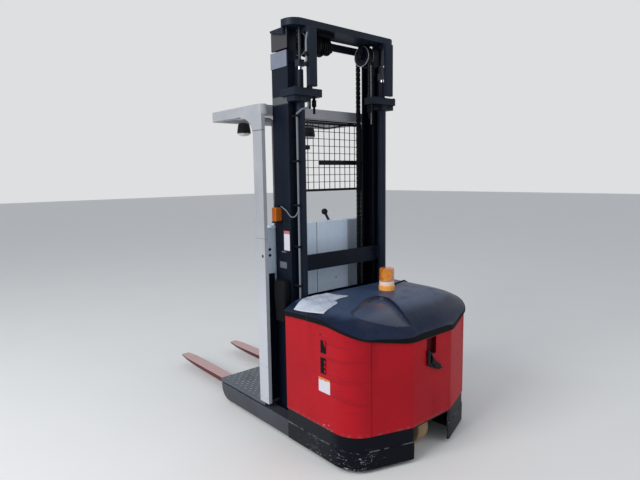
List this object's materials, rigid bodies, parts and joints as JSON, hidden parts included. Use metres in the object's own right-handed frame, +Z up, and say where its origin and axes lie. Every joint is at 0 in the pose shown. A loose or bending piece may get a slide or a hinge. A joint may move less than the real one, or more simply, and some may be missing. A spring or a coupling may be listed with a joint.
{
  "type": "electric order-picking forklift",
  "caption": "Stand-on electric order-picking forklift with a rear power unit, two-stage mast, lifting operator platform with overhead guard, straddle legs and forks.",
  "frame": {"origin": "on the floor under the middle of the truck's length and width", "axes": "+X towards the fork tips, +Y to the left, +Z up"},
  "size_m": [2.438, 1.124, 2.602],
  "materials": {
    "body_red": "weathered gloss paint",
    "hood_blue": "satin paint",
    "frame_dark": "scratched satin paint",
    "cab_white": "satin paint",
    "mast_black": "greasy satin paint",
    "mast_grey": "weathered paint",
    "fork_red": "worn paint",
    "bare_steel": "oiled steel",
    "chrome_rod": "hard chrome",
    "wheel_tan": "solid polyurethane",
    "wheel_dark": "solid polyurethane",
    "deck_grey": "checkered plate",
    "battery_block": null,
    "plastic_black": "moulded",
    "amber": "clear amber",
    "lens_pale": "lamp glass",
    "hose_grey": "hose",
    "chain_steel": "greased chain"
  },
  "bodies": {
    "chassis": {"skirt": "frame_dark", "base_frame": "frame_dark", "side_panels": "body_red", "rear_panel": "body_red", "hood_latch": "plastic_black", "battery": "battery_block", "straddle_legs": "frame_dark", "outer_mast": "mast_black", "mast_head_plates": "mast_grey", "mast_collars": "mast_black", "lift_barrels": "mast_black", "signal_lamps": "amber", "mast_hose": "hose_grey", "chain_rear_runs": "chain_steel"},
    "hood": {"hood": "hood_blue", "beacon_base": "amber", "beacon_lens": "amber"},
    "drive_unit": {"drive_turret": "frame_dark"},
    "drive_wheel": {"drive_hub": "bare_steel", "drive_tyre": "wheel_tan"},
    "load_wheel_left": {"load_hub_left": "bare_steel", "load_tyre_left": "wheel_dark"},
    "load_wheel_right": {"load_hub_right": "bare_steel", "load_tyre_right": "wheel_dark"},
    "inner_mast": {"inner_mast": "mast_black", "mast_top_plate": "mast_grey", "rod_guide_bars": "mast_black", "lift_rods": "chrome_rod", "sheave_hangers": "mast_black", "chain_sheaves": "bare_steel", "hose_pulley": "plastic_black", "chain_bends": "chain_steel"},
    "cab": {"carriage_frame": "mast_black", "carriage_rollers": "bare_steel", "deck": "deck_grey", "fork_bar": "frame_dark", "fork_left": "fork_red", "fork_right": "fork_red", "cab_posts": "cab_white", "overhead_guard": "cab_white", "work_lamp_housings": "plastic_black", "work_lamp_lenses": "lens_pale", "rear_guard": "frame_dark", "console": "cab_white", "cab_back_panel": "frame_dark", "cab_controls": "plastic_black", "chain_front_runs": "chain_steel"},
    "hand_wheel": {"steering_wheel": "plastic_black"}
  },
  "joints": [
    {"name": "mast_lift", "type": "slide", "parent": "chassis", "child": "inner_mast", "axis": [0, 0, 1], "range_m": [0, 1.8], "deforming": ["chain_rear_runs"]},
    {"name": "cab_lift", "type": "slide", "parent": "inner_mast", "child": "cab", "axis": [0, 0, 1], "range_m": [0, 1.8], "deforming": ["chain_front_runs"]},
    {"name": "drive_steer", "type": "hinge", "parent": "chassis", "child": "drive_unit", "pos_m": [-1.015, 0, 0.127], "axis": [0, 0, 1], "range_deg": [-90, 90]},
    {"name": "drive_roll", "type": "hinge", "parent": "drive_unit", "child": "drive_wheel", "pos_m": [-1.015, 0, 0.127], "axis": [0, 1, 0], "continuous": true},
    {"name": "load_roll_left", "type": "hinge", "parent": "chassis", "child": "load_wheel_left", "pos_m": [0.235, 0.509, 0.058], "axis": [0, 1, 0], "continuous": true},
    {"name": "load_roll_right", "type": "hinge", "parent": "chassis", "child": "load_wheel_right", "pos_m": [0.235, -0.509, 0.058], "axis": [0, 1, 0], "continuous": true},
    {"name": "hood_hinge", "type": "hinge", "parent": "chassis", "child": "hood", "pos_m": [-0.511, 0, 0.887], "axis": [0, 1, 0], "range_deg": [0, 50]},
    {"name": "hand_wheel_turn", "type": "hinge", "parent": "cab", "child": "hand_wheel", "pos_m": [-0.115, 0.15, 1.307], "axis": [0.5948, 0, 0.8038], "range_deg": [-540, 540]}
  ],
  "couplings": [
    {"joint": "cab_lift", "follows": "mast_lift", "ratio": 1},
    {"joint": "hand_wheel_turn", "follows": "drive_steer", "ratio": 6}
  ]
}
